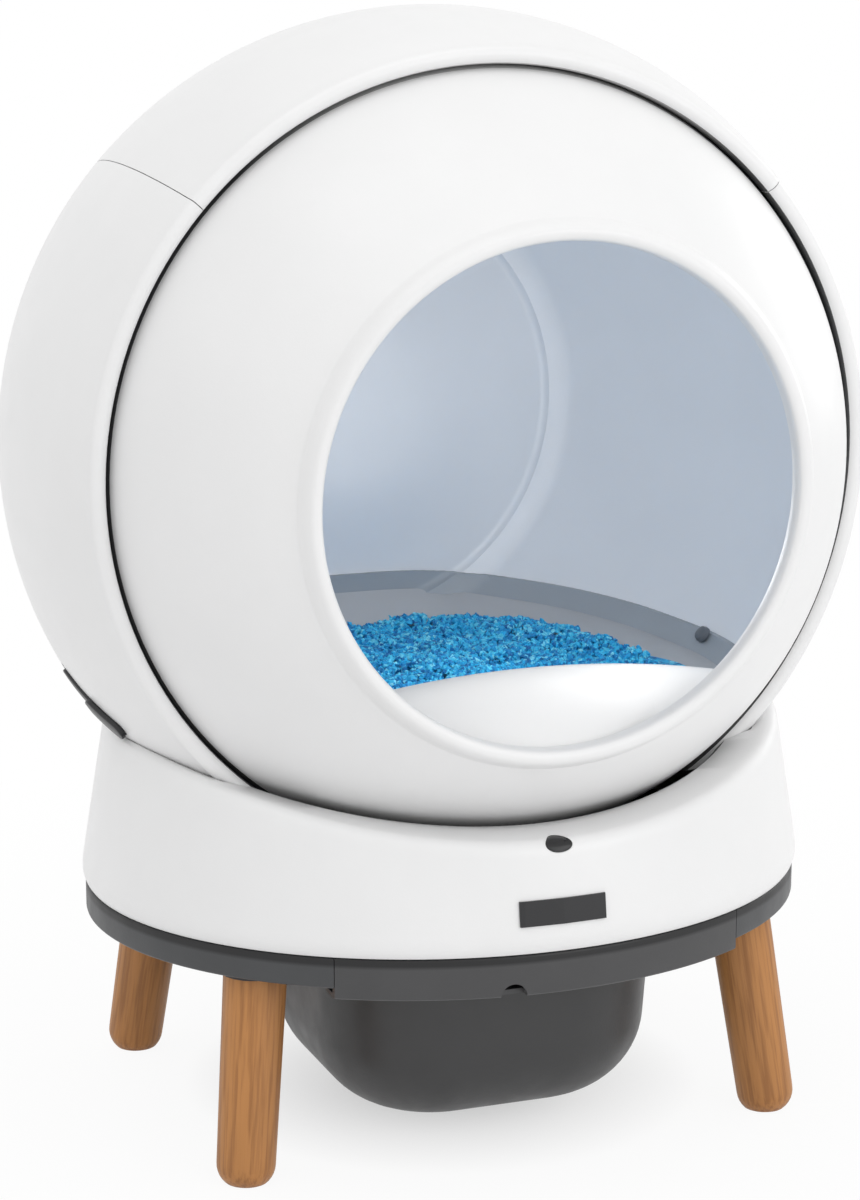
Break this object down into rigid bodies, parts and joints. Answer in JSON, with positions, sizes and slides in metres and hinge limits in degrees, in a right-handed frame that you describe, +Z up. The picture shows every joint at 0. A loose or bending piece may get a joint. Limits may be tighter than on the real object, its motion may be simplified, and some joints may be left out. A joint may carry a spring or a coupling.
{
  "type": "self cleaning litter box",
  "caption": "Round litter globe that turns in a housing to sift clumps into a waste drawer below, on a low oval base with splayed wooden legs.",
  "frame": {"origin": "on the floor, under the middle of the object", "axes": "+Z up, the entry faces -Y, +X is to the right for someone who looks at the entry; the globe turns about a level axis along Y at a height of 420.5 mm"},
  "size_m": [0.5478, 0.411, 0.6944],
  "materials": {
    "white_shell": "satin white moulded plastic",
    "pale_grey_lining": "smooth pale blue-grey plastic",
    "grey_bowl": "soft mid grey plastic",
    "blue_litter": "loose bright blue granules, shown as one solid",
    "charcoal_plastic": "dark grey moulded plastic",
    "black_plastic": "black moulded plastic",
    "oiled_wood": "turned and oiled amber wood",
    "zinc_steel": "zinc plated steel",
    "roller_rubber": "black rubber tread",
    "circuit_board": "green circuit board",
    "smoked_lens": "dark see-through lens plastic, shown opaque",
    "carbon_felt": "black filter felt"
  },
  "bodies": {
    "base": {"badge_plate": "black_plastic", "base_housing": "white_shell", "bin_rail_left": "charcoal_plastic", "bin_rail_right": "charcoal_plastic", "bin_switch": "black_plastic", "carbon_filter": "carbon_felt", "chassis_tray": "charcoal_plastic", "control_board": "circuit_board", "control_panel": "black_plastic", "drive_motor": "zinc_steel", "hall_sensor": "black_plastic", "housing_shell": "white_shell", "leg_front_left": "oiled_wood", "leg_front_right": "oiled_wood", "leg_plate_front_left": "black_plastic", "leg_plate_front_right": "black_plastic", "leg_plate_rear_left": "black_plastic", "leg_plate_rear_right": "black_plastic", "leg_rear_left": "oiled_wood", "leg_rear_right": "oiled_wood", "motor_bracket": "zinc_steel", "power_inlet": "black_plastic", "rear_cover": "white_shell", "rear_cover_screw_1": "zinc_steel", "rear_cover_screw_2": "zinc_steel", "rear_cover_screw_3": "zinc_steel", "rear_cover_screw_4": "zinc_steel", "roller_bracket_left": "zinc_steel", "roller_bracket_right": "zinc_steel", "sensor_board": "circuit_board", "sensor_window": "smoked_lens", "status_light": "smoked_lens", "waste_chute": "charcoal_plastic"},
    "globe": {"globe_rear_shell": "pale_grey_lining", "globe_front_shell": "white_shell", "globe_ring_gear": "charcoal_plastic", "litter_bowl": "grey_bowl", "litter_bed": "blue_litter", "entry_sill": "white_shell", "sifting_screen": "pale_grey_lining", "bowl_clip_left": "black_plastic", "bowl_clip_right": "black_plastic", "home_magnet": "zinc_steel"},
    "pinion": {"drive_pinion": "zinc_steel"},
    "roller_front_left": {"support_roller_front_left": "roller_rubber"},
    "roller_front_right": {"support_roller_front_right": "roller_rubber"},
    "roller_rear_left": {"support_roller_rear_left": "roller_rubber"},
    "roller_rear_right": {"support_roller_rear_right": "roller_rubber"},
    "drawer": {"waste_bin": "charcoal_plastic", "drawer_front": "charcoal_plastic", "bag_ring": "pale_grey_lining"},
    "top_cover": {"top_cover": "white_shell"},
    "latch_left": {"side_latch_left": "black_plastic"},
    "latch_right": {"side_latch_right": "black_plastic"},
    "power_button": {"power_button": "pale_grey_lining"},
    "clean_button": {"clean_button": "pale_grey_lining"},
    "level_button": {"level_button": "pale_grey_lining"}
  },
  "joints": [
    {"name": "globe_turn", "type": "hinge", "parent": "base", "child": "globe", "pos_m": [0, 0, 0.4205], "axis": [0, 1, 0], "continuous": true},
    {"name": "pinion_turn", "type": "hinge", "parent": "base", "child": "pinion", "pos_m": [0.14308, 0.098, 0.19153], "axis": [0, 1, 0], "continuous": true},
    {"name": "roller_front_left_turn", "type": "hinge", "parent": "base", "child": "roller_front_left", "pos_m": [-0.09676, -0.062, 0.18101], "axis": [0, 1, 0], "continuous": true},
    {"name": "roller_rear_left_turn", "type": "hinge", "parent": "base", "child": "roller_rear_left", "pos_m": [-0.09676, 0.072, 0.18101], "axis": [0, 1, 0], "continuous": true},
    {"name": "roller_front_right_turn", "type": "hinge", "parent": "base", "child": "roller_front_right", "pos_m": [0.09676, -0.062, 0.18101], "axis": [0, 1, 0], "continuous": true},
    {"name": "roller_rear_right_turn", "type": "hinge", "parent": "base", "child": "roller_rear_right", "pos_m": [0.09676, 0.072, 0.18101], "axis": [0, 1, 0], "continuous": true},
    {"name": "drawer_slide", "type": "slide", "parent": "base", "child": "drawer", "axis": [0, -1, 0], "range_m": [0, 0.25]},
    {"name": "top_cover_lift", "type": "slide", "parent": "base", "child": "top_cover", "axis": [0, 0, 1], "range_m": [0, 0.22]},
    {"name": "latch_left_slide", "type": "slide", "parent": "base", "child": "latch_left", "axis": [-0.2863, 0.848, 0.4459], "range_m": [0, 0.005]},
    {"name": "latch_right_slide", "type": "slide", "parent": "base", "child": "latch_right", "axis": [0.2863, 0.848, 0.4459], "range_m": [0, 0.005]},
    {"name": "power_button_press", "type": "slide", "parent": "base", "child": "power_button", "axis": [0, -1, 0], "range_m": [0, 0.0015], "stiffness_N_per_m": 400, "springref_m": -0.001},
    {"name": "clean_button_press", "type": "slide", "parent": "base", "child": "clean_button", "axis": [0, -1, 0], "range_m": [0, 0.0015], "stiffness_N_per_m": 400, "springref_m": -0.001},
    {"name": "level_button_press", "type": "slide", "parent": "base", "child": "level_button", "axis": [0, -1, 0], "range_m": [0, 0.0015], "stiffness_N_per_m": 400, "springref_m": -0.001}
  ],
  "couplings": [
    {"joint": "pinion_turn", "follows": "globe_turn", "ratio": -8},
    {"joint": "roller_front_left_turn", "follows": "globe_turn", "ratio": -16.2},
    {"joint": "roller_rear_left_turn", "follows": "globe_turn", "ratio": -16.2},
    {"joint": "roller_front_right_turn", "follows": "globe_turn", "ratio": -16.2},
    {"joint": "roller_rear_right_turn", "follows": "globe_turn", "ratio": -16.2}
  ]
}
